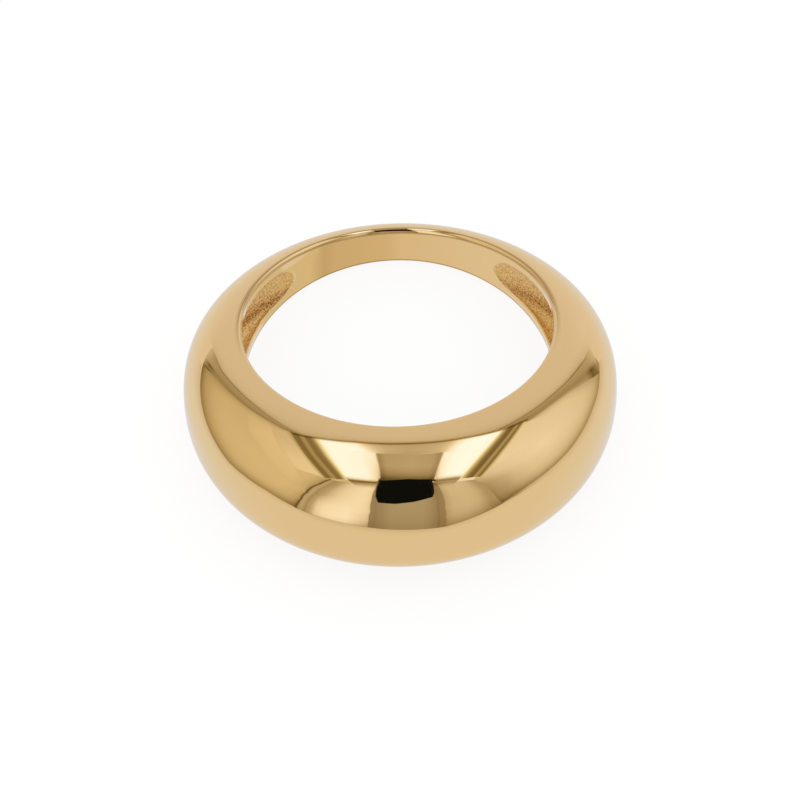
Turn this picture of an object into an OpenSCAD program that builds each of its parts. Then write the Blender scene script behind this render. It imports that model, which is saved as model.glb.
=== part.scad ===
// A cast dome ring, lying on its side.
// The front is a tall rounded dome that sinks and narrows into a slim shank at the back.
// The dome is scooped out from inside the finger hole, so that the metal stays a thin wall.

/* [Finger hole] */
// Diameter of the finger hole, whose inside then measures 54 mm round
bore_d = 17.19; // [14:0.01:23]

/* [Dome] */
// Width of the band along the finger, at the peak of the dome
dome_w = 6.6; // [5:0.1:10]
// Thickness of the metal's outline from the finger hole to the peak of the dome
dome_t = 6; // [4:0.1:8]
// Fullness of the dome's section, where 2 is an ellipse and more is squarer
dome_fullness = 3; // [2:0.1:4]

/* [Sides] */
// Width of the band along the finger, a quarter turn from the peak
side_w = 4.9; // [3.6:0.1:7]
// Thickness of the band, a quarter turn from the peak
side_t = 3.05; // [2.2:0.05:4.5]

/* [Shank] */
// Width of the band along the finger, at the back
shank_w = 2.4; // [1.8:0.1:5]
// Thickness of the band at the back
shank_t = 1.4; // [1.3:0.05:3]
// Fullness of the shank's section, where 2 is an ellipse
shank_fullness = 1.8; // [1.6:0.1:3]

/* [Edges] */
// Radius of the rounded edge at each mouth of the finger hole
edge_r = 0.22; // [0.1:0.02:0.4]

/* [Hollow] */
// Thickness of the metal left over the hollow
wall_t = 1; // [0.6:0.05:1.2]
// Width of the solid rim left between the hollow and each mouth
rim_w = 0.65; // [0.5:0.05:0.8]
// Angle from the peak of the dome to where the hollow has run out
hollow_angle = 140; // [100:0.5:150]
// Length over which the hollow deepens from each end, measured round the finger
hollow_ramp = 6; // [3:0.5:10]

/* [Hidden] */

// Radius of the finger hole
bore_r = bore_d / 2;
// Angle from the peak to the two points of the lower edge that carry the ring as it lies
rest_angle = 58;
// Length of the cutter that opens the finger hole, well past both mouths
bore_cut = 2 * max(dome_w, side_w, shank_w);

// Sections round the band, steps of a half section, of a rounded edge and of the hollow's floor
sections = 84;
half_steps = 11;
edge_steps = 3;
floor_steps = 14;

// A size that runs smoothly through its values at the front, the side and the back
function around(front, side, back, a) =
    front * (cos(a) * cos(a) + cos(a)) / 2
    + side * sin(a) * sin(a)
    + back * (cos(a) * cos(a) - cos(a)) / 2;

// Width, thickness and fullness of the band at an angle from the peak
function band_w(a) = around(dome_w, side_w, shank_w, a);
function band_t(a) = around(dome_t, side_t, shank_t, a);
function fullness(a) = shank_fullness + (dome_fullness - shank_fullness) * (1 + cos(a)) / 2;

// The share of a half width or thickness that a full, rounded section reaches
function full_sin(u, m) = sign(sin(u)) * pow(abs(sin(u)), 2 / m);
function full_cos(u, m) = pow(max(cos(u), 0), 2 / m);

// A point of the ring from its distance to the axis, its height and its angle from the peak
function ring_point(rho, z, a) = [rho * sin(a), -rho * cos(a), z];

// Outside of the band's section, from the upper mouth over the widest line to the lower mouth
function outside(a) =
    let (
        h = band_w(a) / 2,
        t = band_t(a) - edge_r,
        m = fullness(a),
        turn = 90 / edge_steps,
        edge = [for (i = [1:edge_steps - 1])
            [bore_r + edge_r * (1 - cos(i * turn)), h - edge_r * (1 - sin(i * turn))]],
        skin = [for (i = [-half_steps:half_steps])
            [bore_r + edge_r + t * full_cos(i * 90 / half_steps, m),
             -h * full_sin(i * 90 / half_steps, m)]],
        last = edge_steps - 2
    )
    concat(edge, skin, [for (i = [last:-1:0]) [edge[i][0], -edge[i][1]]]);

// Depth of the hollow at an angle, as a share of its full depth there
function hollow_share(a) =
    let (run = (hollow_angle - min(a, 360 - a)) * PI / 180 * bore_r)
    sin(90 * max(0, min(1, run / hollow_ramp)));

// Inside of the band's section, from the lower lip over the hollow's floor to the upper lip.
// The lips stand a little inside the finger hole, which then cuts the inner wall true.
function inside(a) =
    let (
        h = band_w(a) / 2 - rim_w,
        lip_r = bore_r - (rim_w - edge_r) * tan(45 / edge_steps),
        d = (band_t(a) - wall_t + bore_r - lip_r) * hollow_share(a),
        m = fullness(a)
    )
    [for (i = [0:floor_steps])
        [lip_r + d * full_cos(i * 180 / floor_steps - 90, m),
         h * full_sin(i * 180 / floor_steps - 90, m)]];

// The band's sections as points in space
band_angles = [for (i = [0:sections - 1]) i * 360 / sections];
band_rings = [for (a = band_angles)
    [for (p = concat(outside(a), inside(a))) ring_point(p[0], p[1], a)]];
band_points = [for (r = band_rings) for (p = r) p];

// The lean that brings the narrow shank down to the surface beside the wide dome
rest_cos = cos(rest_angle);
rest_slope = (dome_w * (2 * rest_cos + 1) + shank_w * (2 * rest_cos - 1)) / 2 - 2 * rest_cos * side_w;
lean = atan(rest_slope / 2 / (bore_r + edge_r));
leaned_y = [for (p = band_points) p[1] * cos(lean) + p[2] * sin(lean)];
leaned_z = [for (p = band_points) p[2] * cos(lean) - p[1] * sin(lean)];

// Where the middle of the finger hole ends up, with the ring centred over the origin
centre_y = -(max(leaned_y) + min(leaned_y)) / 2;
centre_z = -min(leaned_z);

// The scooped band, closed round the finger, with two triangles between neighbouring points
module band() {
    n = len(band_rings[0]);
    polyhedron(
        points = band_points,
        faces = [for (i = [0:sections - 1]) for (j = [0:n - 1])
            let (
                k = (i + 1) % sections,
                jn = (j + 1) % n,
                near = [i * n + j, i * n + jn],
                far = [k * n + j, k * n + jn]
            )
            each [[near[0], far[0], far[1]], [near[0], far[1], near[1]]]],
        convexity = 6
    );
}

module finger_hole() {
    cylinder(d = bore_d, h = bore_cut, center = true, $fn = 180);
}

module ring() {
    color("goldenrod")
        translate([0, centre_y, centre_z])
            rotate([-lean, 0, 0])
                difference() {
                    band();
                    finger_hole();
                }
}

ring();
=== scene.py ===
# %% [markdown]
# # A polished dome ring
# The real ring is one casting: a tall rounded dome that sinks and narrows into a slim shank,
# scooped out from inside the finger hole so that it stays light to wear. The outside and the
# rims of the hole are polished like a mirror, and the scoop keeps the grain of the mould.
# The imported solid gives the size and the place, and everything here is built onto it in metres.

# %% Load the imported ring
import math
import bpy
import numpy as np
from mathutils import Matrix, Vector


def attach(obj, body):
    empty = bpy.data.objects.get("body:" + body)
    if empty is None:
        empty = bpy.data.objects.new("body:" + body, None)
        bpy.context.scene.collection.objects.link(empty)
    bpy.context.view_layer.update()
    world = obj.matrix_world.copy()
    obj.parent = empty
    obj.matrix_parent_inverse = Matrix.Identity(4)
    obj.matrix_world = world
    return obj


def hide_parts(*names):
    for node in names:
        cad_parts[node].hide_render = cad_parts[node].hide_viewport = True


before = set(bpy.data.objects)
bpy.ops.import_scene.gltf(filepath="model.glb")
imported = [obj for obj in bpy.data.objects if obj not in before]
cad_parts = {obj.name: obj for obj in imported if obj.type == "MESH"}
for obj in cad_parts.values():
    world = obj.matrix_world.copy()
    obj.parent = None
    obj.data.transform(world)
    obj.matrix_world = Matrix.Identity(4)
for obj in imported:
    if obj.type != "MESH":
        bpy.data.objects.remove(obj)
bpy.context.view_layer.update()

# %% [markdown]
# ## The camera
# A mirror shows a different room from every place, so the camera comes before the finish.
# It looks down at the dome from the front, 51 degrees above the table, through a very long
# lens, which is how small jewellery is photographed so that near and far sides keep their size.

# %% Place the camera
MM = 0.001
VIEW_FROM = Vector((-5.69, -252.226, 311.003)) * MM
VIEW_ALONG = Vector((0.01419, 0.63158, -0.77518))
VIEW_UP = Vector((0.04079, 0.77425, 0.63156))

bpy.ops.object.select_all(action="DESELECT")
bpy.ops.object.camera_add()
camera = bpy.context.object
camera.name = "camera"
side = VIEW_ALONG.cross(VIEW_UP).normalized()
turned = Matrix((side, VIEW_UP, -VIEW_ALONG)).transposed().to_4x4()
camera.matrix_world = Matrix.Translation(VIEW_FROM) @ turned
camera.data.lens = 326.6
camera.data.sensor_width = 36
camera.data.clip_start = 0.01
camera.data.clip_end = 20
bpy.context.scene.camera = camera
print("camera to ring, mm:", round(VIEW_FROM.length / MM))

# %% [markdown]
# ## The ring's sizes
# The same sizes as the solid's, in millimetres. Three stations carry the whole form: the peak of
# the dome, the sides a quarter turn away, and the back of the shank. What lies between them is
# read from one smooth rule, as a jeweller files a wax until no station can be felt. The edge round
# each mouth of the finger hole is finer than the solid's behind the dome: it reaches a little less
# far out by the sides, a little farther at the back, and less deep down in both places.

# %% Name the sizes
BORE_R = 8.595
DOME = {"width": 6.6, "thick": 6.0, "full": 3.0}
SIDE = {"width": 4.9, "thick": 3.05}
SHANK = {"width": 2.4, "thick": 1.4, "full": 1.8}
EDGE_R = 0.22
EDGE_LOWER = 0.06
EDGE_WIDER = 0.03
EDGE_NARROWER = 0.11
CREASE = math.radians(28)
CREASE_FULLER = 0.45
CREASE_START = 0.48
CREASE_GROWS = 0.25
RIM_W = 0.65
WALL_T = 1.0
HOLLOW_END = math.radians(140)
HOLLOW_RAMP = 6.0
LEAN = math.radians(5.43072)
MIDDLE = np.array([0, 2.31269, 2.49474])


def around(size, a):
    """A size at an angle from the peak, running smoothly through its values at the three stations."""
    c = np.cos(a)
    return DOME[size] * (c * c + c) / 2 + SIDE[size] * np.sin(a) ** 2 + SHANK[size] * (c * c - c) / 2


def fullness(a):
    """How squared-off the section is, where 2 is an ellipse."""
    return SHANK["full"] + (DOME["full"] - SHANK["full"]) * (1 + np.cos(a)) / 2


for name, a in (("peak", 0), ("side", math.pi / 2), ("back", math.pi)):
    print(name, "width", round(around("width", a), 2), "thickness", round(around("thick", a), 2))

# %% [markdown]
# ## The section of the band
# Cut across, the band is a dome over a flat foot: the flat is the wall of the finger hole, with a
# small rounded edge at each mouth, and the dome is a squared-off half ellipse. The points are
# spaced by their angle from the section's middle, so that they lie evenly on the polished curve.
# Behind the dome the half ellipse stops a little short of the edge, which leaves a faint crease
# there, as on metal that was polished from two sides. A bevel would give every section the same
# crease, so the section's own rule draws it. Fine brown lines of painted shade run beside it, to
# darken the thin lines that the crease mirrors.

# %% Draw the curves of a section
def squared_arc(steps, m, end=math.pi / 2):
    """Points of a half ellipse of fullness m, from -end to end: how far up, and how far out."""
    turn = np.linspace(-end, end, steps + 1)
    up, out = np.sin(turn), np.cos(turn)
    reach = (np.abs(up) ** m + np.abs(out) ** m) ** (-1 / m)
    return up * reach, out * reach


def ease(x):
    """A smooth step from 0 to 1."""
    x = np.clip(x, 0, 1)
    return x * x * (3 - 2 * x)


def towards_back(a):
    """How far round the finger: 0 at the dome's peak, 0.5 at the sides, 1 at the back."""
    return (1 - math.cos(a)) / 2


def edge_size(a):
    """How far the edge's rounding reaches out and down."""
    share = ease(towards_back(a) * 1.6 - 0.3)
    wider = EDGE_WIDER - EDGE_NARROWER * math.sin(a) ** 2
    return EDGE_R + wider * share, EDGE_R - EDGE_LOWER * share


for name, a in (("peak", 0), ("side", math.pi / 2), ("back", math.pi)):
    print(name, "edge, out and down, mm:", [round(float(v), 3) for v in edge_size(a)])

# %% Draw the outside of one section
EDGE_STEPS, SKIN_STEPS = 10, 88


def skin(a):
    """Outside of the section, from the upper mouth over the dome to the lower mouth."""
    reach, drop = edge_size(a)
    half, deep = around("width", a) / 2, around("thick", a) - reach
    turn = np.linspace(0, np.pi / 2, EDGE_STEPS + 1)[:-1]
    edge = np.stack([BORE_R + reach * (1 - np.cos(turn)), half - drop * (1 - np.sin(turn))], -1)
    creased = ease((towards_back(a) - CREASE_START) / CREASE_GROWS)
    m = fullness(a) + CREASE_FULLER * creased
    up, out = squared_arc(SKIN_STEPS, m, math.pi / 2 - CREASE * creased)
    out = (out - out[0]) / (1 - out[0])
    dome = np.stack([BORE_R + reach + deep * out, half * up / up[0]], -1)
    return np.concatenate([edge, dome, edge[::-1] * (1, -1)])


def painted_edge_lines(a):
    """Two fine lines of painted brown shade where the edge's rounding starts and ends, behind the dome."""
    lines = np.zeros(2 * EDGE_STEPS + SKIN_STEPS + 1)
    fine = ease(towards_back(a) * 2.5 - 0.75)
    for at in (0, EDGE_STEPS):
        near = np.abs(np.arange(len(lines)) - at)
        lines = np.maximum(lines, fine * np.clip(0.9 - near / 2, 0, 1))
    return np.maximum(lines, lines[::-1])


print("points on the outside of a section:", len(skin(0.0)))

# %% [markdown]
# ## The scoop
# The hollow is cast, and it opens through the wall of the finger hole. It is deepest under the
# dome, where it leaves one millimetre of metal, and it runs out in a rounded end on each side of
# the shank, where a tiny step shows its outline. A narrow rim stays solid above and below it. Where
# the rim meets the scoop, polishing has broken the corner, so a tiny fillet joins them. A boolean cut
# would leave ragged faces along that lip, so the scoop is the inner half of each section instead.
# It also says for each point how grainy the metal is, and where a streak of painted shade climbs the floor.

# %% Draw the inside of one section
RIM_STEPS, LIP_STEPS, SCOOP_STEPS = 5, 3, 84
END_ROUND = 1.5
LIP_R = 0.06
END_STEP = 0.045
GRAIN_FADES = 0.32
# The streak is painted shade: a darker band along the lower half of the scoop's floor.
STREAK_FROM, STREAK_TO = 43, 95
STREAK_FADES_IN, STREAK_FADES_OUT = 6, 20
STREAK_AT, STREAK_DEEP = 48, 0.05
STREAK_CLIMB = 0.043
STREAK_WIDE = 0.17


def from_back(a):
    """Degrees from the back of the shank, on either side."""
    return 180 - abs(math.degrees((a + np.pi) % (2 * np.pi) - np.pi))


def scoop(a):
    """Inside of the section from the lower mouth to the upper, with each point's grain and its streak of
    painted shade.
    """
    half, m = around("width", a) / 2, fullness(a)
    high = half - RIM_W
    run = (HOLLOW_END - abs((a + np.pi) % (2 * np.pi) - np.pi)) * BORE_R
    open_share = math.sqrt(max(0.0, 1 - max(0.0, 1 - run / END_ROUND) ** 2)) if run > 0 else 0.0
    deep = (around("thick", a) - WALL_T) * math.sin(math.pi / 2 * min(1, max(0, run) / HOLLOW_RAMP))
    deep += END_STEP * ease(run / 0.3)
    lip = LIP_R * ease((run - END_ROUND) / 0.8)
    up, out = squared_arc(SCOOP_STEPS, m)
    inside = np.clip(1 - (np.abs(up) / max(open_share, 1e-6)) ** m, 0, None) ** (1 / m)
    floor = np.stack([BORE_R + lip * (open_share > 0) + (deep - lip) * inside, high * up], -1)
    turn = np.linspace(0, np.pi / 2, LIP_STEPS + 1)[:-1]
    corner = np.stack([BORE_R + lip * (1 - np.cos(turn)), -(high + LIP_R * (1 - np.sin(turn)))], -1)
    land = np.linspace(-(half - edge_size(a)[1]), corner[0][1], RIM_STEPS + 1)[:-1]
    rim = np.stack([np.full(len(land), BORE_R), land], -1)
    wall = np.concatenate([rim, corner])
    grain = (inside > 0) * ease(run / 0.15) * np.clip((0.97 * open_share - up) / GRAIN_FADES, 0, 1)
    streak_r = BORE_R + STREAK_DEEP + STREAK_CLIMB * (from_back(a) - STREAK_AT)
    ends = ease((from_back(a) - STREAK_FROM) / STREAK_FADES_IN)
    ends *= ease((STREAK_TO - from_back(a)) / STREAK_FADES_OUT)
    # The streak of painted shade, on the lower half of the floor only.
    streak = np.exp(-((floor[:, 0] - streak_r) / STREAK_WIDE) ** 2) * (up < 0) * ends
    none = np.zeros(len(wall))
    grain, streak = (np.concatenate([none, share, none]) for share in (grain, streak))
    return np.concatenate([wall, floor, wall[::-1] * (1, -1)]), np.stack([grain, streak], -1)


print("points on the inside of a section:", len(scoop(0.0)[0]))

# %% [markdown]
# ## The band
# A round outline is spun about the finger, which gives a closed hoop with a net of even faces. It
# could then be swollen by hand, rib by rib. But a mirror shows every dent, and a wobble of a
# hundredth of a millimetre bends a reflected line, so each rib of the hoop is laid onto the section
# for its own angle instead.

# %% Spin the hoop
RIBS = 480
HOOP_R = 10
RIB_POINTS = len(skin(0.0)) + len(scoop(0.0)[0]) - 2

bpy.ops.object.select_all(action="DESELECT")
bpy.ops.mesh.primitive_circle_add(vertices=RIB_POINTS, radius=2 * MM,
                                  location=(0, -HOOP_R * MM, 0), rotation=(0, math.pi / 2, 0))
ring = bpy.context.object
ring.name = "dome_ring"
bpy.ops.object.transform_apply(location=True, rotation=True, scale=True)
bpy.ops.object.mode_set(mode="EDIT")
bpy.ops.mesh.select_all(action="SELECT")
bpy.ops.mesh.spin(steps=RIBS, angle=2 * math.pi, center=(0, 0, 0), axis=(0, 0, 1))
bpy.ops.mesh.select_all(action="SELECT")
bpy.ops.mesh.remove_doubles(threshold=0.001 * MM)
bpy.ops.object.mode_set(mode="OBJECT")
print("hoop points:", len(ring.data.vertices), "of", RIBS * RIB_POINTS)

# %% [markdown]
# ## From hoop to ring
# Each point of the hoop knows its rib by its bearing round the finger, and its turn on the rib by
# its angle round the rib's middle. So it can be sent to the same place on the real section. The
# grain, the streak of painted shade and the brown lines of painted shade are stored beside it as
# attributes, because they follow the surface. As it lies, the ring leans a little, and its slim shank
# comes down towards the table.

# %% Lay each rib onto its section
spun = np.zeros(len(ring.data.vertices) * 3, dtype=np.float32)
ring.data.vertices.foreach_get("co", spun)
spun = spun.reshape(-1, 3) / MM
from_axis = np.hypot(spun[:, 0], spun[:, 1])
rib = np.rint(np.arctan2(spun[:, 0], -spun[:, 1]) / (2 * np.pi) * RIBS).astype(int) % RIBS
turn = np.arctan2(from_axis - HOOP_R, spun[:, 2])
point = np.rint(turn / (2 * np.pi) * RIB_POINTS).astype(int) % RIB_POINTS

lean = np.array([[1, 0, 0], [0, math.cos(LEAN), math.sin(LEAN)], [0, -math.sin(LEAN), math.cos(LEAN)]])
places = np.zeros((RIBS, RIB_POINTS, 3))
# The grain of the casting, and the painted shade of the streak and of the brown edge lines.
grain_and_painted_shade = np.zeros((RIBS, RIB_POINTS, 3))
for i in range(RIBS):
    a = 2 * math.pi * i / RIBS
    outer, (inner, inner_grain_and_shade) = skin(a), scoop(a)
    section = np.concatenate([outer, inner[1:-1]])
    grain_and_painted_shade[i, :len(outer), 2] = painted_edge_lines(a)
    grain_and_painted_shade[i, len(outer):, :2] = inner_grain_and_shade[1:-1]
    places[i] = np.stack([section[:, 0] * math.sin(a), -section[:, 0] * math.cos(a), section[:, 1]], -1)
places = (places @ lean.T + MIDDLE) * MM
ring.data.vertices.foreach_set("co", places[rib, point].reshape(-1).astype(np.float32))
for name, column in (("grain", 0), ("streak", 1), ("edge_line", 2)):
    painted = ring.data.attributes.new(name, "FLOAT", "POINT")
    painted.data.foreach_set("value", grain_and_painted_shade[rib, point, column].astype(np.float32))
ring.data.update()

bpy.ops.object.mode_set(mode="EDIT")
bpy.ops.mesh.select_all(action="SELECT")
bpy.ops.mesh.remove_doubles(threshold=0.0005 * MM)
bpy.ops.mesh.normals_make_consistent(inside=False)
bpy.ops.object.mode_set(mode="OBJECT")
bpy.ops.object.shade_smooth()
print("ring faces:", len(ring.data.polygons), "lowest point, mm:",
      round(min(v.co.z for v in ring.data.vertices) / MM, 4))

# %% [markdown]
# ## The grain of the casting
# Inside the scoop the metal keeps the skin of the mould: a field of tiny pits and grains. The
# larger ones are real bumps, made by nudging the scoop's points in and out along their normals.
# A displace modifier with a noise could do it too, but one operator is enough for bumps this small.

# %% Roughen the scoop
BUMPY = 0.2
BUMP = 0.012

bpy.ops.object.mode_set(mode="EDIT")
bpy.ops.mesh.select_all(action="DESELECT")
bpy.ops.object.mode_set(mode="OBJECT")
graininess = np.zeros(len(ring.data.vertices), dtype=np.float32)
ring.data.attributes["grain"].data.foreach_get("value", graininess)
ring.data.vertices.foreach_set("select", graininess > BUMPY)
bpy.ops.object.mode_set(mode="EDIT")
bpy.ops.transform.vertex_random(offset=BUMP * MM, uniform=0.0, normal=1.0, seed=7)
bpy.ops.object.mode_set(mode="OBJECT")
print("points in the scoop:", int((graininess > BUMPY).sum()))

# %% [markdown]
# ## Polished metal
# The whole ring is one metal with a gold-coloured coat. Outside it is polished to a mirror, which a
# plain metal shader with very little roughness gives. Such a coat is never quite even, so a soft
# cloudy noise moves its roughness and its colour a little. Along the mouths of the finger hole it is
# darkened by the fine brown lines of painted shade that were stored on the points.

# %% Polished metal
def new_material(name):
    """A new material with its nodes and links."""
    made = bpy.data.materials.new(name)
    made.use_nodes = True
    return made, made.node_tree.nodes, made.node_tree.links


polished, nodes, links = new_material("polished_gold_colour")
metal = nodes["Principled BSDF"]
metal.inputs["Metallic"].default_value = 1
place = nodes.new("ShaderNodeTexCoord")
cloud = nodes.new("ShaderNodeTexNoise")
cloud.inputs["Scale"].default_value = 220
cloud.inputs["Detail"].default_value = 3
links.new(place.outputs["Object"], cloud.inputs["Vector"])
coat = nodes.new("ShaderNodeMapRange")
coat.inputs["To Min"].default_value = 0.018
coat.inputs["To Max"].default_value = 0.034
links.new(cloud.outputs["Fac"], coat.inputs["Value"])
links.new(coat.outputs["Result"], metal.inputs["Roughness"])
shade = nodes.new("ShaderNodeMixRGB")
shade.inputs["Color1"].default_value = (0.925, 0.675, 0.335, 1)
shade.inputs["Color2"].default_value = (0.935, 0.685, 0.345, 1)
links.new(cloud.outputs["Fac"], shade.inputs["Fac"])
# Painted shade: fine brown lines along the mouths of the finger hole, read from the points.
painted_shade_lines = nodes.new("ShaderNodeAttribute")
painted_shade_lines.attribute_name = "edge_line"
lined = nodes.new("ShaderNodeMixRGB")
lined.inputs["Color2"].default_value = (0.4, 0.25, 0.09, 1)
links.new(painted_shade_lines.outputs["Fac"], lined.inputs["Fac"])
links.new(shade.outputs["Color"], lined.inputs["Color1"])
links.new(lined.outputs["Color"], metal.inputs["Base Color"])
print("coat's roughness:", coat.inputs["To Min"].default_value, "to", coat.inputs["To Max"].default_value)

# %% [markdown]
# ## Cast metal
# In the scoop the same coat lies on the grainy skin of the mould. It is dull, lighter on the grains
# and browner in the pits, which one fine noise gives to colour and bump alike. The darker streak is
# painted shade, where the curved floor shades itself. It is mixed in where the noise is dark, so that it
# looks like grains in shade and not like a drawn line.
# Towards the lips all of it fades into the polished metal.

# %% Start the cast metal
GOLD = (0.93, 0.68, 0.34, 1)
cast_metal, nodes, links = new_material("cast_gold_colour")
metal = nodes["Principled BSDF"]
metal.inputs["Metallic"].default_value = 1
place = nodes.new("ShaderNodeTexCoord")
depth = nodes.new("ShaderNodeAttribute")
depth.attribute_name = "grain"
# Painted shade: the streak along the scoop's floor.
streak = nodes.new("ShaderNodeAttribute")
streak.attribute_name = "streak"


def speckle(size_mm, detail):
    """Noise with features of about that size, in the metal's own coordinates."""
    noise = nodes.new("ShaderNodeTexNoise")
    noise.inputs["Scale"].default_value = 1000 / size_mm
    noise.inputs["Detail"].default_value = detail
    links.new(place.outputs["Object"], noise.inputs["Vector"])
    return noise.outputs["Fac"]


def between(value, low, high, to_low, to_high):
    """The value spread from one range to another, held at both ends."""
    spread = nodes.new("ShaderNodeMapRange")
    limits = {"From Min": low, "From Max": high, "To Min": to_low, "To Max": to_high}
    for socket, number in limits.items():
        spread.inputs[socket].default_value = number
    links.new(value, spread.inputs["Value"])
    return spread.outputs["Result"]


print("cast metal's nodes so far:", len(nodes))

# %% Colour the grains
grain = speckle(0.085, 2)
colours = nodes.new("ShaderNodeValToRGB")
ramp = colours.color_ramp
ramp.elements[0].position, ramp.elements[0].color = 0.34, (0.6, 0.36, 0.12, 1)
ramp.elements[1].position, ramp.elements[1].color = 0.68, (0.98, 0.71, 0.35, 1)
middle = ramp.elements.new(0.48)
middle.color = (0.89, 0.59, 0.23, 1)
links.new(grain, colours.inputs["Fac"])
raw = depth.outputs["Fac"]
dark_grain = between(grain, 0.4, 0.58, 1.0, 0.2)
streaked = nodes.new("ShaderNodeMath")
streaked.operation = "MULTIPLY"
links.new(streak.outputs["Fac"], streaked.inputs[0])
links.new(dark_grain, streaked.inputs[1])
browner = nodes.new("ShaderNodeMixRGB")
browner.blend_type = "MULTIPLY"
browner.inputs["Color2"].default_value = (0.62, 0.41, 0.17, 1)
links.new(streaked.outputs[0], browner.inputs["Fac"])
links.new(colours.outputs["Color"], browner.inputs["Color1"])
tint = nodes.new("ShaderNodeMixRGB")
tint.inputs["Color1"].default_value = GOLD
links.new(raw, tint.inputs["Fac"])
links.new(browner.outputs["Color"], tint.inputs["Color2"])
links.new(tint.outputs["Color"], metal.inputs["Base Color"])
print("colours from pit to grain:", len(ramp.elements))

# %% Dull and pit the grains
links.new(between(raw, 0.0, 0.5, 0.025, 0.42), metal.inputs["Roughness"])
pits = nodes.new("ShaderNodeBump")
pits.inputs["Distance"].default_value = 0.014 * MM
links.new(grain, pits.inputs["Height"])
links.new(raw, pits.inputs["Strength"])
links.new(pits.outputs["Normal"], metal.inputs["Normal"])
print("cast metal's nodes:", len(nodes))

# %% [markdown]
# ## Two finishes on one piece
# The ring has a slot for each finish, and every face with a grainy corner is given the cast one.
# The attribute alone could blend the two in one material, but two plain ones are easier to follow.

# %% Give each face its finish
ring.data.materials.append(polished)
ring.data.materials.append(cast_metal)
corners = np.zeros(len(ring.data.loops), dtype=np.int32)
ring.data.loops.foreach_get("vertex_index", corners)
starts = np.array([p.loop_start for p in ring.data.polygons])
is_cast = np.maximum.reduceat(graininess[corners], starts) > 0
ring.data.polygons.foreach_set("material_index", is_cast.astype(np.int32))
print("cast faces:", int(is_cast.sum()))

# %% [markdown]
# ## The table
# A plain white table. The ring lies on it with a soft shadow where it touches. A plane of plain
# white would show that shadow much darker than a small piece of jewellery has in a bright tent. So
# most of the paper's light is its own glow, and only the rest of it takes the shadow.

# %% Lay the table
def glow_and_shade(nodes, links, glow, paper):
    """White paper lit from below through a sheet of glass: part of its light ignores the shadow."""
    light, sheet = nodes.new("ShaderNodeEmission"), nodes.new("ShaderNodeBsdfDiffuse")
    light.inputs["Color"].default_value = (*glow, 1)
    sheet.inputs["Color"].default_value = (*paper, 1)
    both = nodes.new("ShaderNodeAddShader")
    links.new(light.outputs["Emission"], both.inputs[0])
    links.new(sheet.outputs["BSDF"], both.inputs[1])
    return both.outputs["Shader"]


bpy.ops.object.select_all(action="DESELECT")
bpy.ops.mesh.primitive_plane_add(size=8)
table = bpy.context.object
table.name = "table"
paper, nodes, links = new_material("white_paper")
nodes.remove(nodes["Principled BSDF"])
seen = glow_and_shade(nodes, links, (0.86, 0.86, 0.86), (0.14, 0.14, 0.14))
links.new(seen, nodes["Material Output"].inputs["Surface"])
table.data.materials.append(paper)
table.visible_glossy = False
print("table, m:", table.dimensions.x)

# %% [markdown]
# ## The light tent
# Polished jewellery is photographed in a tent of pale cloth, and what the ring shows is the tent:
# its walls and the folds in its corners, the two lamps behind its roof, and the dark lens that looks
# in through a gap in front. Lamps of Blender's own would show as plain shapes, so each sheet here
# is a grid laid by the direction in which the ring sees it, so far away that it looks the same from
# every point of the metal. It carries its brightness as an attribute. Where sheets overlap, the
# nearer one covers the other, and gauze dims what lies behind it.

# %% Name directions in the tent
FAR = 12


def roof(x, y):
    """A direction overhead: x to the right and y to the back, for every one up."""
    return Vector((x, y, 1)).normalized()


def bearing(azimuth, elevation):
    """A direction from a compass bearing, 0 in front of the dome and 90 to its right, and a height."""
    a, e = math.radians(azimuth), math.radians(elevation)
    return Vector((math.sin(a) * math.cos(e), -math.cos(a) * math.cos(e), math.sin(e)))


print("to the dome's right:", [round(v, 3) for v in bearing(90, 0)])

# %% [markdown]
# ## Cloth and gauze
# Dim cloth is lit by light that has come off the gold-coloured metal, so it is browner, and bright
# cloth is cooler. So one rule gives the colour by the brightness. Cloth of a diffuse material with
# real lamps would take far longer to render without speckles, so it glows by itself.

# %% Make the tent's cloth
DIM_TO_BRIGHT = (0.15, 0.3, 0.5, 0.76, 1.05, 1.4)
RED_SHARE = (1.28, 1.18, 1.09, 1.037, 0.96, 0.78)
BLUE_SHARE = (0.52, 0.68, 0.84, 0.974, 1.1, 1.5)


def glow(light, tint):
    """Colour of cloth by its brightness: what is darker is lit by light off gold, and is browner."""
    red = np.interp(light, DIM_TO_BRIGHT, RED_SHARE)
    blue = np.interp(light, DIM_TO_BRIGHT, BLUE_SHARE)
    bright = np.stack([light * red, light, light * blue], -1) * tint
    return np.concatenate([bright, np.ones_like(light)[..., None]], -1)


def tent_cloth(name, gauze):
    """Cloth that glows by its own brightness, or gauze that dims what lies behind it."""
    made, nodes, links = new_material(name)
    nodes.remove(nodes["Principled BSDF"])
    light = nodes.new("ShaderNodeAttribute")
    light.attribute_name = "light"
    shader = nodes.new("ShaderNodeBsdfTransparent" if gauze else "ShaderNodeEmission")
    links.new(light.outputs["Color"], shader.inputs["Color"])
    links.new(shader.outputs[0], nodes["Material Output"].inputs["Surface"])
    return made


CLOTH, GAUZE = tent_cloth("tent_cloth", False), tent_cloth("tent_gauze", True)
PALE_GAUZE, BROWN_GAUZE = (0.86, 1, 1.3), (0.74, 1, 1.6)


def only_mirrored(thing):
    """Seen in the polished metal, but not by the camera, and it lights nothing."""
    thing.visible_camera = thing.visible_diffuse = thing.visible_shadow = False


print("cloth and gauze:", CLOTH.name, GAUZE.name)

# %% [markdown]
# ## Laying a sheet
# A sheet is stretched through a few lines of directions with a brightness at each point, and the
# grid between them is filled in even steps. A tent modelled at its real size would be nearer to
# life, but a sheet laid by direction puts each mirrored seam just where it belongs on the ring.

# %% Lay a sheet through lines
STEPS = 8


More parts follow.
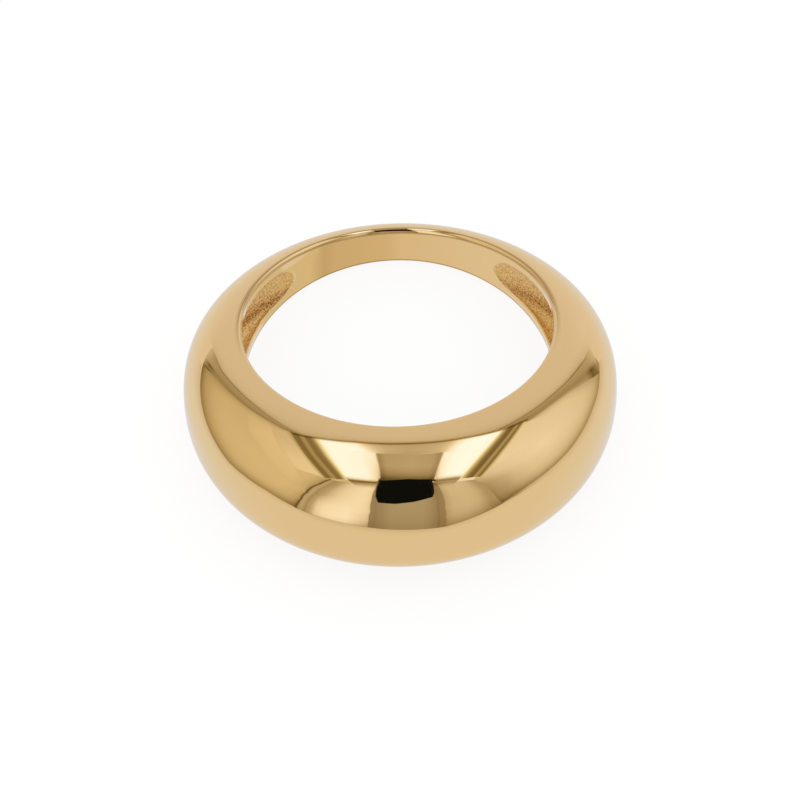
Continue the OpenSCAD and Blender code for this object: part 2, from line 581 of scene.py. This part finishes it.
def finer(rows):
    """The same rows with STEPS equal steps between each two."""
    at = np.linspace(0, len(rows) - 1, STEPS * (len(rows) - 1) + 1)
    low = np.minimum(at.astype(int), len(rows) - 2)
    share = (at - low).reshape((-1,) + (1,) * (rows.ndim - 1))
    return rows[low] * (1 - share) + rows[low + 1] * share


def lay(name, places, colours, cloth):
    """A grid of cloth with its points at these places, row by row, and its colour at each."""
    across, down = places.shape[1] - 1, places.shape[0] - 1
    bpy.ops.object.select_all(action="DESELECT")
    bpy.ops.mesh.primitive_grid_add(x_subdivisions=across, y_subdivisions=down, size=2)
    grid = bpy.context.object
    grid.name = name
    flat = np.array([tuple(v.co) for v in grid.data.vertices])
    column = np.rint((flat[:, 0] + 1) / 2 * across).astype(int)
    row = np.rint((flat[:, 1] + 1) / 2 * down).astype(int)
    grid.data.vertices.foreach_set("co", places[row, column].reshape(-1).astype(np.float32))
    light = grid.data.attributes.new("light", "FLOAT_COLOR", "POINT")
    light.data.foreach_set("color", colours[row, column].reshape(-1).astype(np.float32))
    grid.data.materials.append(cloth)
    only_mirrored(grid)
    return grid


def sheet(name, edges, along=1.0, near=1.0, tint=(1, 1, 1), gauze=None):
    """Cloth laid through lines of directions, each with its brightness; along dims it lengthwise."""
    ways = np.array([[tuple(way) for way in line] for line, light in edges])
    lights = np.array([np.broadcast_to(light, len(line)) for line, light in edges]) * along
    tints = np.ones(lights.shape + (3,)) * np.array(tint)
    ways, lights, tints = (finer(finer(rows).swapaxes(0, 1)) for rows in (ways, lights, tints))
    colours = glow(lights, tints)
    if gauze:
        colours[..., :3] = lights[..., None] ** np.array(gauze)
    places = ways / np.linalg.norm(ways, axis=-1, keepdims=True) * FAR * near
    return lay(name, places, colours, GAUZE if gauze else CLOTH)


def glowing():
    """How many sheets of glowing cloth hang so far."""
    meshes = [thing.data for thing in bpy.data.objects if thing.type == "MESH"]
    return sum(CLOTH.name in mesh.materials for mesh in meshes)


print("glowing sheets so far:", glowing())

# %% [markdown]
# ## The skirt
# Round the ring the cloth lies on the table as a pale skirt. It is whitest at the back, towards the
# open side of the tent. Just below the walls it is a little darker, in their shade.

# %% Spread the skirt
ROUND = np.arange(-180, 181, 20)
REAR = np.clip((np.abs(ROUND) - 60) / 60, 0, 1)
LEVELS = ((25, -0.02), (8, 0), (-1, 0.03), (-12, 0.06), (-30, 0.06), (-60, 0.04), (-85, 0.01))
COOL = [min(1, max(0, (8 - height) / 20)) for height, lift in LEVELS]
PALE = 0.757
sheet("skirt", [([bearing(a, height) for a in ROUND], PALE + lift * REAR) for height, lift in LEVELS],
      near=1.02,
      tint=[[(1 - 0.06 * cool * r, 1, 1 + (0.05 + 0.09 * cool) * r) for r in REAR] for cool in COOL])
print("glowing sheets so far:", glowing())

# %% [markdown]
# ## Light inside the ring
# Where the inner wall stands on the cloth, it throws gold light down, and the cloth throws it back.
# So the inner wall sees a strip of warmer and darker cloth at its own foot, with one soft shade
# across it on the left, and it gets brighter and less warm towards the right. It is laid along the
# lines in which the wall mirrors the view, so that it ends where the wall does.

# %% Lay the warm strip
STATIONS = np.array((-60, -45, -33, -27, -22, -12, -3, 3, 14, 30, 60))
SHORT_OF_FOOT, PAST_EDGE, PAST_EDGE_ROUND_SIDES = 0.9, 1.12, 1.22
dimmed = np.interp(STATIONS, (-33, -27, -22, -3, 3), (0, 0.14, 0.09, 0.06, 0))
light = 0.66 + 0.09 * ease((STATIONS + 15) / 65) - dimmed
redder = 1 + 0.055 * np.exp(-((STATIONS + 12) / 25) ** 2)
bluer = 0.9 + 0.1 * ease((STATIONS + 12) / 24)
colours = glow(light, np.stack([redder, np.ones_like(light), bluer], -1))
near_side, far_side = [], []
for angle in STATIONS:
    a = math.radians(180 - angle)
    inward = lean @ (-math.sin(a), math.cos(a), 0)
    ray = VIEW_ALONG - 2 * VIEW_ALONG.dot(Vector(inward)) * Vector(inward)
    past = PAST_EDGE_ROUND_SIDES if abs(angle) > 40 else PAST_EDGE
    for line, height, beyond in ((near_side, -0.5, SHORT_OF_FOOT), (far_side, 0.5, past)):
        x, y, z = lean @ (BORE_R * math.sin(a), -BORE_R * math.cos(a), height * around("width", a)) + MIDDLE
        run = beyond * z / -ray.z
        line.append(((x + ray.x * run) * MM, (y + ray.y * run) * MM, 0.02 * MM))
places, colours = (finer(finer(np.array(rows)).swapaxes(0, 1))
                   for rows in ([near_side, far_side], [colours, colours]))
lay("warm_strip", places, colours, CLOTH)
print("warm strip's stations:", len(STATIONS), "dimmest:", round(float(light.min()), 2))

# %% [markdown]
# ## Walls
# Each wall rises from its foot, where it meets the skirt. It is darkest there and brightens upwards,
# as cloth does that is lit from above. Two steps of light on the left wall are where a lamp shines
# past the edge of the roof. The side walls lean back to the two folds that close the rear corners.
# One big dome of cloth could carry all of it, but sheets with their own edges keep each seam sharp.

# %% Mark the walls' lines
LEFT_FOOT = (-143, 13), (-133, 9.5), (-115, 3.5), (-91, -5), (-69, 1), (-50, -3), (-44, -6)
RIGHT_FOOT = (44, 4), (53, 11), (63, 15), (90, 13.5), (113, 13), (125, 10), (136, 10)
LEFT_CORNER = (-149, -4), (-153, 8), (-157, 20.5), (-161.3, 31), (-168.6, 38.4), (-171.5, 44.4), (-172.5, 48)
RIGHT_CORNER = (139, -4), (144, 8), (149, 20), (155, 31.5), (164, 38.8), (170.5, 43.9), (172, 48)
LEAN_BACK, LEANS_UP_TO = 0.9, 30


def risen(foot, rise, lean_back):
    """The foot's line carried up the wall, its rear end leaning back until it meets the fold."""
    leaning = LEAN_BACK * min(rise, LEANS_UP_TO)
    first = bearing(foot[0][0] - leaning * (lean_back < 0), foot[0][1] + rise)
    last = bearing(foot[-1][0] + leaning * (lean_back > 0), foot[-1][1] + rise)
    return [first] + [bearing(a, e + rise) for a, e in foot[1:-1]] + [last]


def across(line_a, line_b, share):
    """The line a share of the way from one line of directions to another."""
    return [(a * (1 - share) + b * share).normalized() for a, b in zip(line_a, line_b)]


def beside(seam, turn):
    """A seam, turned sideways by some degrees."""
    return [bearing(a + turn, e) for a, e in seam]


print("points along the left wall's foot:", len(LEFT_FOOT), "and the right one's:", len(RIGHT_FOOT))

# %% Hang the walls
sheet("left_wall", [(risen(LEFT_FOOT, rise, -1), light) for rise, light in (
    (0, (0.14, 0.22, 0.29, 0.31, 0.32, 0.28, 0.27)), (4, (0.26, 0.32, 0.35, 0.33, 0.35, 0.33, 0.3)),
    (8, (0.4, 0.42, 0.43, 0.41, 0.42, 0.4, 0.38)), (12, (0.48, 0.48, 0.49, 0.48, 0.49, 0.47, 0.44)),
    (18, (0.54, 0.56, 0.56, 0.56, 0.57, 0.54, 0.5)), (25, (0.57, 0.61, 0.61, 0.61, 0.62, 0.585, 0.55)),
    (40, (0.58, 0.63, 0.65, 0.65, 0.66, 0.64, 0.6)), (70, (0.6, 0.65, 0.67, 0.67, 0.68, 0.66, 0.62)))],
    tint=(1.04, 1, 0.87))
sheet("right_wall", [(risen(RIGHT_FOOT, rise, 1), light) for rise, light in (
    (0, 0.35), (3.5, 0.41), (7, 0.52), (11, 0.61), (15, 0.68), (20, 0.74), (30, 0.82), (40, 0.9),
    (65, 0.94))],
    along=(0.85, 0.9, 0.94, 0.99, 1.04, 1.02, 0.95))
left_corner, right_corner = beside(LEFT_CORNER, 0), beside(RIGHT_CORNER, 0)
sheet("back_wall", [(across(left_corner, right_corner, share), light) for share, light in (
    (0, (0.79, 0.755, 0.67, 0.63, 0.59, 0.56, 0.56)), (0.12, (0.79, 0.74, 0.69, 0.67, 0.66, 0.62, 0.6)),
    (0.5, (0.79, 0.72, 0.69, 0.685, 0.68, 0.64, 0.6)), (0.85, (0.79, 0.76, 0.76, 0.68, 0.66, 0.62, 0.6)),
    (1, (0.79, 0.76, 0.71, 0.62, 0.6, 0.57, 0.56)))],
    near=0.995, tint=[(0.965, 1, 1.1)] + [(1, 1, 1.06)] * 6)
print("glowing sheets so far:", glowing())

# %% Let the lamp shine past the roof
sheet("left_glow_low", [
    ([roof(-0.33, 1.15), roof(-0.56, 0.8), roof(-0.64, 0.439), roof(-0.76, 0.087), roof(-0.86, -0.2)],
     (0.6, 0.64, 0.66, 0.65, 0.62)),
    ([roof(-0.3, 1.1), roof(-0.49, 0.79), roof(-0.57, 0.435), roof(-0.69, 0.085), roof(-0.77, -0.2)],
     (0.61, 0.68, 0.70, 0.69, 0.64)),
    ([roof(-0.2, 1.05), roof(-0.31, 0.85), roof(-0.39, 0.543), roof(-0.45, 0.308), roof(-0.62, -0.1)],
     (0.62, 0.72, 0.73, 0.72, 0.65))],
    near=0.992, tint=(1.04, 1, 0.87))
sheet("left_glow_high", [
    ([roof(-0.23, 1.1), roof(-0.315, 0.865), roof(-0.4, 0.55), roof(-0.45, 0.315)], (0.6, 0.63, 0.69, 0.72)),
    ([roof(-0.21, 1.08), roof(-0.285, 0.85), roof(-0.37, 0.535), roof(-0.415, 0.3)], (0.6, 0.65, 0.77, 0.81)),
    ([roof(-0.17, 1.05), roof(-0.2, 0.85), roof(-0.26, 0.5), roof(-0.3, 0.25)], (0.6, 0.66, 0.8, 0.85))],
    near=0.99, tint=(1.03, 1, 0.9))
print("glowing sheets so far:", glowing())

# %% [markdown]
# ## Folds at the back corners
# Where each side wall meets the back wall, the cloth is gathered into a dark fold between two
# seams. Across the fold its pleats are darker and lighter lines, so the brightness is named at
# a few shares of the way from seam to seam, from the skirt to the roof. Gauze on both sides
# lets the shade of the fold run out into the walls.

# %% Mark the folds' seams
LEFT_BACK_SEAM = (-157, 20.5), (-159.3, 26), (-161.3, 31), (-165.5, 35), \
    (-168.6, 38.4), (-170.4, 42), (-171.5, 44.4)
LEFT_SIDE_SEAM = (-143.5, 13), (-146.5, 21), (-151, 28.8), (-157, 35.6), \
    (-162.5, 39.6), (-167, 42.4), (-169.8, 44.4)
RIGHT_BACK_SEAM = (149, 20), (152, 27.5), (155, 31.5), (159.5, 35.8), \
    (164, 38.8), (167.8, 41.8), (170.5, 43.9)
RIGHT_SIDE_SEAM = (132, 11), (134.5, 20.5), (138.6, 27.5), (145.2, 34.5), \
    (152.4, 38.6), (159, 42), (163, 45)
print("points along each seam:", len(LEFT_BACK_SEAM))

# %% Gather the folds
FADE = np.array((0.05, 0.5, 1, 1, 1, 1, 1))
LEFT_DARKS = (
    (0, (0.66, 0.36, 0.21, 0.2, 0.21, 0.23, 0.25)),
    (0.06, (0.65, 0.36, 0.25, 0.24, 0.25, 0.26, 0.27)),
    (0.11, (0.63, 0.39, 0.38, 0.38, 0.39, 0.38, 0.36)),
    (0.4, (0.6, 0.42, 0.37, 0.36, 0.36, 0.35, 0.34)),
    (0.6, (0.55, 0.39, 0.31, 0.33, 0.34, 0.33, 0.32)),
    (0.7, (0.5, 0.05, 0.29, 0.3, 0.32, 0.32, 0.3)),
    (0.76, (0.45, 0.2, 0.29, 0.29, 0.29, 0.3, 0.3)),
    (0.9, (0.3, 0.27, 0.33, 0.3, 0.26, 0.25, 0.25)),
    (0.95, (0.2, 0.06, 0.33, 0.33, 0.28, 0.25, 0.25)),
    (1, (0.16, 0.14, 0.36, 0.36, 0.3, 0.25, 0.25)))
RIGHT_DARKS = (
    (0, (0.7, 0.36, 0.21, 0.21, 0.22, 0.24, 0.26)),
    (0.06, (0.69, 0.37, 0.26, 0.26, 0.27, 0.28, 0.29)),
    (0.12, (0.67, 0.44, 0.42, 0.42, 0.4, 0.38, 0.36)),
    (0.4, (0.62, 0.42, 0.38, 0.37, 0.36, 0.35, 0.34)),
    (0.55, (0.55, 0.24, 0.34, 0.33, 0.32, 0.32, 0.32)),
    (0.65, (0.4, 0.08, 0.31, 0.31, 0.32, 0.32, 0.31)),
    (0.8, (0.3, 0.14, 0.34, 0.35, 0.36, 0.35, 0.33)),
    (0.95, (0.2, 0.15, 0.4, 0.43, 0.43, 0.4, 0.38)),
    (1, (0.16, 0.16, 0.46, 0.48, 0.48, 0.46, 0.42)))

for name, back_seam, side_seam, turned_in, darks in (
        ("left_fold", LEFT_BACK_SEAM, LEFT_SIDE_SEAM, 1, LEFT_DARKS),
        ("right_fold", RIGHT_BACK_SEAM, RIGHT_SIDE_SEAM, -1, RIGHT_DARKS)):
    back_line, side_line = beside(back_seam, 0), beside(side_seam, 0)
    sheet(name, [(across(back_line, side_line, share), dark) for share, dark in darks], near=0.985)
    for side_name, line, out, steps in (
            ("back", back_seam, -turned_in, ((8, 1), (3, 0.95), (1, 0.88), (0, 0.75))),
            ("side", side_seam, turned_in, ((8, 1), (4, 0.92), (1.5, 0.8), (0, 0.7)))):
        sheet(name + "_" + side_name + "_shade",
              [(beside(line, out * turn), 1 - (1 - shade) * FADE) for turn, shade in steps],
              near=0.983, gauze=PALE_GAUZE)
print("glowing sheets so far:", glowing())

# %% [markdown]
# ## Front of the tent
# The left front panel faces a lamp and is the brightest cloth, and the right one is duller. Between
# them is the gap that the lens looks through. Each front panel has a narrow hem along its outer side.
# Every panel is stretched between two lines that run from the skirt up to the roof.

# %% Mark the front's lines
GAP_LEFT = [bearing(-17.8, -8), bearing(-17.8, -3), bearing(-18, 12), bearing(-20.3, 41),
            roof(-0.199, -0.291), roof(-0.121, 0.067), roof(-0.083, 0.25)]
GAP_RIGHT = [bearing(18, -14), bearing(18, -9), bearing(19.1, 14.8), bearing(23.1, 43.7), roof(0.245, -0.331),
             roof(0.17, -0.018), roof(0.124, 0.2)]
LEFT_HEM = [bearing(-53.2, -4), bearing(-53.3, 0), bearing(-54.2, 14), roof(-1.67, -1.13), roof(-0.86, -0.42),
            roof(-0.434, 0.029), roof(-0.281, 0.233)]
LEFT_HEM_INNER = [bearing(-48.2, -5), bearing(-48.2, -1), bearing(-48.8, 12),
                  roof(-1.25, -0.94), roof(-0.66, -0.34), roof(-0.36, 0.04), roof(-0.255, 0.205)]
RIGHT_HEM = [bearing(46.2, 3), bearing(46.3, 7), bearing(46.8, 19), roof(1.3, -1.14), roof(0.8, -0.58),
             roof(0.45, -0.11), roof(0.31, 0.105)]
print("points along each line:", len(GAP_LEFT))

# %% Hang the left front
sheet("left_hem_shade", [
    (LEFT_HEM, 0.56),
    ([bearing(-55.5, -3), bearing(-55.5, 1), bearing(-56.5, 15), bearing(-58, 27), bearing(-66, 48),
      roof(-0.46, 0.06), roof(-0.3, 0.25)], 0.8),
    ([bearing(-59, -2), bearing(-59, 2), bearing(-60, 16), bearing(-62, 28), bearing(-71, 48),
      roof(-0.49, 0.1), roof(-0.32, 0.27)], 0.93),
    ([bearing(-66, 0), bearing(-66, 4), bearing(-68, 18), bearing(-71, 30), bearing(-81, 50),
      roof(-0.53, 0.15), roof(-0.35, 0.3)], 1)],
    near=0.982, gauze=PALE_GAUZE)
sheet("left_hem", [(across(LEFT_HEM, LEFT_HEM_INNER, share), light) for share, light in (
    (0, 0.18), (0.17, 0.1), (0.36, 0.48), (0.6, 0.5), (0.85, 0.42), (1, 0.32))],
    along=(0.75, 0.9, 0.97, 1.0, 1.0, 0.96, 0.9), near=0.98)
sheet("front_left", [(across(LEFT_HEM_INNER, GAP_LEFT, share), light) for share, light in (
    (0, (0.28, 0.34, 0.36, 0.36, 0.36, 0.36, 0.36)), (0.03, (0.34, 0.42, 0.44, 0.43, 0.41, 0.4, 0.39)),
    (0.08, (0.42, 0.48, 0.5, 0.46, 0.44, 0.42, 0.41)), (0.17, (0.56, 0.82, 0.88, 0.84, 0.52, 0.46, 0.44)),
    (0.28, (0.62, 0.95, 1.02, 0.97, 0.68, 0.62, 0.56)), (0.45, (0.62, 0.98, 1.08, 1.04, 0.88, 0.84, 0.76)),
    (0.65, (0.6, 0.94, 1.1, 1.08, 0.98, 0.94, 0.86)), (0.85, (0.47, 0.7, 0.88, 1.0, 1.03, 1, 0.9)),
    (0.95, (0.43, 0.58, 0.76, 0.92, 0.96, 0.95, 0.9)), (1, (0.37, 0.47, 0.62, 0.76, 0.8, 0.8, 0.8)))],
    near=0.98)
print("glowing sheets so far:", glowing())

# %% Hang the right front
sheet("front_right", [(across(RIGHT_HEM, GAP_RIGHT, share), light) for share, light in (
    (0, 0.34), (0.03, 0.42), (0.08, 0.4), (0.17, 0.43), (0.27, 0.52), (0.38, 0.61), (0.6, 0.65), (0.85, 0.63),
    (0.95, 0.55), (1, 0.48))],
    along=(0.5, 0.62, 0.86, 0.98, 1.0, 1.03, 1.06), near=0.98)
sheet("right_hem_shade", [
    (RIGHT_HEM + [roof(0.29, 0.3)], (0.42, 0.42, 0.42, 0.42, 0.42, 0.45, 0.6, 0.84)),
    ([bearing(49, 5), bearing(49, 9), bearing(50, 20), bearing(52, 34), roof(0.86, -0.53), roof(0.5, -0.07),
      roof(0.36, 0.12), roof(0.31, 0.33)], (0.52, 0.52, 0.52, 0.52, 0.52, 0.55, 0.68, 0.88)),
    ([bearing(54, 6), bearing(54, 10), bearing(55.5, 21), bearing(59, 36), roof(0.94, -0.45),
      roof(0.57, -0.02), roof(0.42, 0.14), roof(0.34, 0.37)], (0.6, 0.6, 0.6, 0.6, 0.6, 0.65, 0.78, 0.92)),
    ([bearing(61, 8), bearing(61, 12), bearing(63, 23), bearing(68, 38), roof(1.0, -0.36), roof(0.63, 0.04),
      roof(0.46, 0.18), roof(0.37, 0.41)], (0.78, 0.78, 0.78, 0.78, 0.78, 0.8, 0.84, 0.95)),
    ([bearing(70, 8), bearing(70, 12), bearing(73, 24), bearing(80, 40), roof(1.1, -0.2), roof(0.75, 0.15),
      roof(0.55, 0.27), roof(0.42, 0.48)], (0.95, 0.95, 0.95, 0.95, 0.94, 0.92, 0.91, 0.98)),
    ([bearing(80, 8), bearing(80, 12), bearing(84, 24), bearing(92, 40), roof(1.2, 0), roof(0.95, 0.3),
      roof(0.68, 0.42), roof(0.5, 0.6)], 1)],
    near=0.982, gauze=PALE_GAUZE)
print("glowing sheets so far:", glowing())

# %% [markdown]
# ## The gap and the walls' feet
# The gap is dim cloth farther off, in the shade of the two panels. Last, one band of gauze runs
# along the feet of all the walls, so that the skirt darkens softly towards them.

# %% Close the gap and shade the feet
sheet("gap", [(across(GAP_LEFT, GAP_RIGHT, share), light) for share, light in (
    (0, 0.28), (0.02, 0.3), (0.075, 0.285), (0.1, 0.3), (0.3, 0.39), (0.7, 0.4), (0.8, 0.35), (0.88, 0.3),
    (0.9, 0.25), (0.93, 0.29), (1, 0.29))],
    along=(0.8, 0.84, 0.94, 1.03, 1.04, 1.0, 1.0), near=0.979, tint=(0.97, 1, 1.15))
FOOT_SHADE = [*LEFT_FOOT, (-30, -7), (-18, -9), (0, -13), (18, -13), (30, -6), *RIGHT_FOOT]
sheet("foot_shade", [([bearing(az, el - down) for az, el in FOOT_SHADE], light) for down, light in (
    (-1, 0.84), (2, 0.86), (6, 0.93), (14, 1))], near=1.01, gauze=PALE_GAUZE)
print("glowing sheets so far:", glowing())

# %% [markdown]
# ## Roof
# Two lamps glow through the roof, beside a plain strip down its middle. They are held in a dark
# frame of two brown bands and a thin bright slot, which shows as stripes on both shoulders of the
# dome. The lamps' light fades towards the back, over the strip, and before the roof's front edge.
# All of it is laid as narrow slats side by side, each with its own brightness.

# %% Lay the lamps' frames
def slat(x0, y0, x1, y1, x2, y2):
    """A line in the roof from its front edge over its middle to its back edge."""
    return [roof(x0, y0), roof(x1, y1), roof(x2, y2)]


sheet("left_frame", [
    (slat(-0.325, 0.24, -0.268, 0.64, -0.205, 1.0), (0.8, 0.82, 0.6)),
    (slat(-0.306, 0.24, -0.249, 0.655, -0.189, 1.01), (0.5, 0.52, 0.42)),
    (slat(-0.298, 0.24, -0.243, 0.66, -0.184, 1.015), 0.2),
    (slat(-0.272, 0.25, -0.219, 0.67, -0.165, 1.02), 0.18),
    (slat(-0.263, 0.25, -0.213, 0.68, -0.159, 1.02), 0.34),
    (slat(-0.244, 0.25, -0.197, 0.7, -0.149, 1.02), 0.37),
    (slat(-0.237, 0.26, -0.19, 0.7, -0.144, 1.02), 0.2),
    (slat(-0.218, 0.27, -0.172, 0.71, -0.132, 1.03), 0.21),
    (slat(-0.207, 0.28, -0.163, 0.71, -0.125, 1.03), 0.38),
    (slat(-0.199, 0.28, -0.156, 0.71, -0.119, 1.03), 0.8),
    (slat(-0.188, 0.29, -0.145, 0.71, -0.108, 1.035), 1.33)], near=0.975, tint=(1, 1, 0.86))
sheet("right_frame", [
    (slat(0.36, 0.14, 0.318, 0.52, 0.278, 0.98), 0.9), (slat(0.337, 0.14, 0.299, 0.535, 0.264, 0.99), 0.5),
    (slat(0.325, 0.15, 0.292, 0.54, 0.257, 1.0), 0.19), (slat(0.31, 0.16, 0.279, 0.555, 0.248, 1.0), 0.24),
    (slat(0.302, 0.17, 0.27, 0.565, 0.243, 1.0), 0.4), (slat(0.287, 0.18, 0.26, 0.575, 0.236, 1.0), 0.38),
    (slat(0.28, 0.18, 0.253, 0.585, 0.231, 1.0), 0.16), (slat(0.256, 0.19, 0.234, 0.61, 0.213, 1.0), 0.18),
    (slat(0.243, 0.2, 0.222, 0.63, 0.207, 0.995), 0.33), (slat(0.228, 0.21, 0.213, 0.636, 0.2, 0.99), 0.62),
    (slat(0.213, 0.22, 0.198, 0.65, 0.188, 1.0), 1.36)], near=0.975, tint=(1, 1, 0.86))
print("glowing sheets so far:", glowing())

# %% Light the lamps
sheet("left_lamp", [
    (slat(-0.2, 0.28, -0.155, 0.71, -0.117, 1.035), 1.33),
    (slat(-0.17, 0.285, -0.12, 0.71, -0.085, 1.055), 1.38),
    (slat(-0.11, 0.285, -0.075, 0.67, -0.04, 1.07), 1.34),
    (slat(-0.092, 0.285, -0.052, 0.66, -0.005, 1.07), 1.15),
    (slat(-0.08, 0.28, -0.038, 0.66, 0.035, 1.06), 0.9)], near=0.977)
sheet("right_lamp", [
    (slat(0.118, 0.25, 0.092, 0.6, 0.035, 1.06), 0.9), (slat(0.128, 0.25, 0.103, 0.6, 0.075, 1.05), 1.2),
    (slat(0.15, 0.25, 0.125, 0.6, 0.105, 1.04), 1.38), (slat(0.19, 0.24, 0.165, 0.62, 0.15, 1.015), 1.42),
    (slat(0.23, 0.21, 0.21, 0.64, 0.2, 0.99), 1.36)], near=0.977)
sheet("lamp_fade", [
    ([roof(-0.066, 0.89), roof(-0.07, 0.95), roof(-0.08, 1.05)], 1.36),
    ([roof(-0.037, 0.9), roof(-0.046, 0.95), roof(-0.05, 1.065)], 1.28),
    ([roof(-0.029, 0.905), roof(-0.036, 0.96), roof(-0.041, 1.068)], 1.06),
    ([roof(-0.023, 0.905), roof(-0.027, 0.965), roof(-0.032, 1.069)], 0.8),
    ([roof(-0.017, 0.905), roof(-0.019, 0.97), roof(-0.023, 1.07)], 0.66),
    ([roof(-0.006, 0.9), roof(-0.006, 0.97), roof(-0.008, 1.07)], 0.55),
    ([roof(0.025, 0.885), roof(0.024, 0.97), roof(0.026, 1.065)], 0.49),
    ([roof(0.058, 0.88), roof(0.058, 0.94), roof(0.06, 1.052)], 0.54),
    ([roof(0.076, 0.865), roof(0.074, 0.93), roof(0.076, 1.047)], 0.6),
    ([roof(0.084, 0.86), roof(0.086, 0.93), roof(0.089, 1.044)], 0.74),
    ([roof(0.096, 0.85), roof(0.099, 0.925), roof(0.104, 1.04)], 1.12),
    ([roof(0.112, 0.84), roof(0.116, 0.92), roof(0.12, 1.033)], 1.35)], along=(0.98, 1.06, 0.98), near=0.973)
print("glowing sheets so far:", glowing())

# %% Lay the plain strip between the lamps
STRIP_LEFT = [roof(-0.083, 0.285), roof(-0.061, 0.39), roof(-0.05, 0.52), roof(-0.041, 0.66),
              roof(-0.027, 0.91)]
STRIP_RIGHT = [roof(0.118, 0.25), roof(0.106, 0.31), roof(0.101, 0.42), roof(0.095, 0.6),
               roof(0.086, 0.86)]
sheet("roof_strip", [(across(STRIP_LEFT, STRIP_RIGHT, share), light) for share, light in (
    (0, 0.4), (0.015, 0.32), (0.05, 0.35), (0.12, 0.46), (0.5, 0.5), (0.85, 0.47), (0.94, 0.37),
    (0.985, 0.33), (1, 0.4))],
    along=(0.05, 0.3, 0.72, 1.0, 0.95), near=0.971)
print("glowing sheets so far:", glowing())

# %% [markdown]
# ## Edges of the roof
# A dark rail holds the roof's cloth at the back, and painted shade closes each lamp in front: a
# dark line along its front edge, with a softer shade below it. Both are laid as gauze over the cloth,
# so that the bright lamp and the plain strip show through them as they would through a thin brown net.

# %% Close the roof's edges
TOP_LINE = (-0.186, 1.0), (-0.154, 1.012), (-0.096, 1.043), (-0.045, 1.067), (0.02, 1.062), (0.099, 1.04), \
    (0.147, 1.018), (0.2, 0.995), (0.28, 0.99)


def shifted(line, dy):
    """A line in the roof, moved towards the back."""
    return [roof(x, y + dy) for x, y in line]


sheet("roof_back_edge", [(shifted(TOP_LINE, dy), light) for dy, light in (
    (-0.04, 1), (-0.02, 0.93), (-0.009, 0.55), (-0.003, 0.26), (0.006, 0.28), (0.016, 0.72), (0.035, 0.93),
    (0.09, 1))],
    near=0.968, gauze=BROWN_GAUZE)
# Painted shade: a dark gauze line along each lamp's front edge, and a softer gauze shade below it.
for name, line in (("left_lamp_foot", ((-0.19, 0.27), (-0.17, 0.27), (-0.13, 0.265), (-0.08, 0.255))),
                   ("right_lamp_foot", ((0.11, 0.245), (0.15, 0.245), (0.19, 0.235), (0.215, 0.215)))):
    sheet(name, [(shifted(line, dy), light) for dy, light in (
        (0.13, 1), (0.09, 0.93), (0.06, 0.75), (0.025, 0.3), (-0.01, 0.25))], near=0.968, gauze=BROWN_GAUZE)
    sheet(name + "_hem", [(shifted(line, dy), light) for dy, light in (
        (-0.01, 0.36), (-0.035, 0.42), (-0.07, 0.55), (-0.12, 0.85), (-0.17, 1))],
        near=0.968, gauze=PALE_GAUZE)
print("glowing sheets in all:", glowing())

# %% [markdown]
# ## The lens
# The lens is the only black thing in the tent. It looks in over the gap in front, under the roof's
# plain strip, and its front is a rounded block with eleven corners in this outline. A flat disc
# gives it, with each corner moved to its place. It glows very faintly, because even black glass
# sends back a little of the white room.

# %% Hang the lens
LENS = ((0.02, 0.357), (0.098, 0.306), (0.118, 0.147), (0.15, -0.1), (0.159, -0.237), (0.06, -0.376),
        (-0.067, -0.448), (-0.178, -0.4), (-0.15, -0.15), (-0.114, 0.069), (-0.071, 0.32))
LENS_NEAR = 0.9
bpy.ops.object.select_all(action="DESELECT")
bpy.ops.mesh.primitive_circle_add(vertices=len(LENS), radius=1, fill_type="NGON")
lens = bpy.context.object
lens.name = "dark_lens"
for v, (x, y) in zip(lens.data.vertices, LENS):
    v.co = roof(x, y) * FAR * LENS_NEAR
black, nodes, links = new_material("dark_lens")
nodes.remove(nodes["Principled BSDF"])
faint = nodes.new("ShaderNodeEmission")
faint.inputs["Color"].default_value = (0.005, 0.006, 0.007, 1)
links.new(faint.outputs["Emission"], nodes["Material Output"].inputs["Surface"])
lens.data.materials.append(black)
only_mirrored(lens)
print("lens corners:", len(lens.data.vertices))

# %% [markdown]
# ## Light on the table
# The table is lit from all round by the white sky outside the tent, which gives the faint shadow
# that paper has under a small thing. The polished metal sees cloth on every side, so for mirrored
# rays the sky has the skirt's colour, in case a chink is left between two sheets.

# %% Light the sky
sky = bpy.data.worlds.new("sky")
bpy.context.scene.world = sky
sky.use_nodes = True
nodes, links = sky.node_tree.nodes, sky.node_tree.links
white = nodes["Background"]
white.inputs["Color"].default_value = (1, 1, 1, 1)
white.inputs["Strength"].default_value = 1.15
skirt = nodes.new("ShaderNodeBackground")
skirt.inputs["Color"].default_value = (0.785, 0.757, 0.737, 1)
ray = nodes.new("ShaderNodeLightPath")
mix = nodes.new("ShaderNodeMixShader")
links.new(ray.outputs["Is Glossy Ray"], mix.inputs["Fac"])
links.new(white.outputs["Background"], mix.inputs[1])
links.new(skirt.outputs["Background"], mix.inputs[2])
links.new(mix.outputs["Shader"], nodes["World Output"].inputs["Surface"])
bpy.context.scene.view_settings.view_transform = "Standard"
print("sky's strength:", white.inputs["Strength"].default_value)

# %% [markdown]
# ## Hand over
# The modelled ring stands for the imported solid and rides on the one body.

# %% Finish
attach(ring, "root")
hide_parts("ring")
